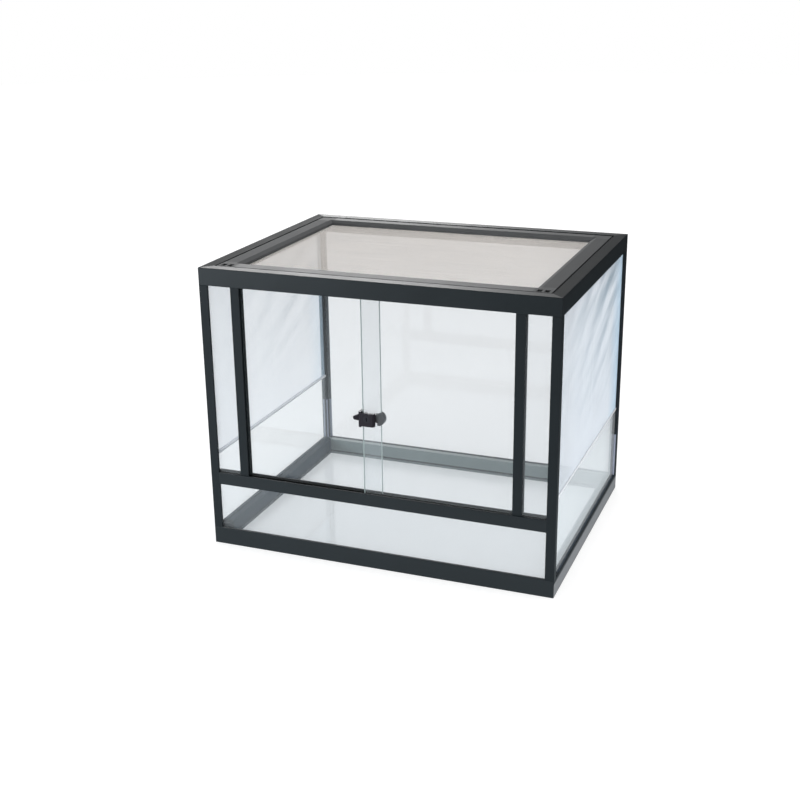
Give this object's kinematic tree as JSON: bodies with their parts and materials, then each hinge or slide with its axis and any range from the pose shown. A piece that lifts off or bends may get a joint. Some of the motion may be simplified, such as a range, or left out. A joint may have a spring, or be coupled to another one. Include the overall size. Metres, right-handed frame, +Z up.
{
  "type": "reptile terrarium",
  "caption": "Glass terrarium in a dark extruded frame, with overlapping sliding front doors and a ratchet lock, screened upper sides and a hinged screen lid.",
  "frame": {"origin": "middle of the footprint, at the level of the underside that rests on the table", "axes": "+X to the right as seen from the front, +Y from the doors to the back, +Z up"},
  "size_m": [0.6, 0.468, 0.486],
  "materials": {
    "frame_black": "extruded aluminium with a satin black coating",
    "grey_skirt": "satin grey strip",
    "joint_strip_aluminium": "thin satin dark grey strip",
    "clear_glass": "clear float glass with polished edges",
    "side_screen_mesh": "fine pale woven screen",
    "lid_screen_mesh": "fine woven steel screen",
    "black_plastic": "matt black moulding",
    "lid_corner_plastic": "satin black moulding",
    "lock_black": "black coated lock body",
    "plug_metal": "turned key plug",
    "pin_steel": "ground pin",
    "spline_rubber": "round rubber cord"
  },
  "bodies": {
    "frame": {"base_front_rail": "frame_black", "base_back_rail": "frame_black", "base_left_rail": "frame_black", "base_right_rail": "frame_black", "base_corner_keys": "black_plastic", "base_left_skirt": "grey_skirt", "base_right_skirt": "grey_skirt", "post_front_left": "frame_black", "post_front_right": "frame_black", "post_back_left": "frame_black", "post_back_right": "frame_black", "mid_rail": "frame_black", "lower_track": "black_plastic", "upper_track": "black_plastic", "mullion_left": "frame_black", "mullion_right": "frame_black", "floor_pane": "clear_glass", "back_pane": "clear_glass", "front_low_pane": "clear_glass", "front_left_pane": "clear_glass", "front_right_pane": "clear_glass", "side_left_pane": "clear_glass", "side_right_pane": "clear_glass", "side_left_joint": "joint_strip_aluminium", "side_right_joint": "joint_strip_aluminium", "side_left_screen": "side_screen_mesh", "side_right_screen": "side_screen_mesh", "top_front_rail": "frame_black", "top_back_rail": "frame_black", "top_left_rail": "frame_black", "top_right_rail": "frame_black", "top_corner_keys": "black_plastic"},
    "lid": {"lid_front_bar": "frame_black", "lid_back_bar": "frame_black", "lid_left_bar": "frame_black", "lid_right_bar": "frame_black", "lid_front_corners": "lid_corner_plastic", "lid_back_corners": "lid_corner_plastic", "lid_pivot_pins": "pin_steel", "lid_screen": "lid_screen_mesh", "lid_spline": "spline_rubber"},
    "lid_latch_left": {"lid_latch_left": "black_plastic"},
    "lid_latch_right": {"lid_latch_right": "black_plastic"},
    "door_left": {"door_left": "clear_glass", "lock_strip": "lock_black"},
    "door_right": {"door_right": "clear_glass"},
    "lock_housing": {"lock_housing": "lock_black"},
    "lock_plug": {"lock_plug": "plug_metal"}
  },
  "joints": [
    {"name": "door_left_slide", "type": "slide", "parent": "frame", "child": "door_left", "axis": [1, 0, 0], "range_m": [0, 0.18]},
    {"name": "door_right_slide", "type": "slide", "parent": "frame", "child": "door_right", "axis": [-1, 0, 0], "range_m": [0, 0.18]},
    {"name": "lock_housing_slide", "type": "slide", "parent": "door_right", "child": "lock_housing", "axis": [-1, 0, 0], "range_m": [0, 0.02]},
    {"name": "lock_plug_turn", "type": "hinge", "parent": "lock_housing", "child": "lock_plug", "pos_m": [-0.01063, -0.2355, 0.262], "axis": [0, -1, 0], "range_deg": [0, 90]},
    {"name": "lid_hinge", "type": "hinge", "parent": "frame", "child": "lid", "pos_m": [0, 0.2045, 0.481], "axis": [-1, 0, 0], "range_deg": [0, 100]},
    {"name": "lid_latch_left_slide", "type": "slide", "parent": "lid", "child": "lid_latch_left", "axis": [0, -1, 0], "range_m": [0, 0.006]},
    {"name": "lid_latch_right_slide", "type": "slide", "parent": "lid", "child": "lid_latch_right", "axis": [0, -1, 0], "range_m": [0, 0.006]}
  ]
}
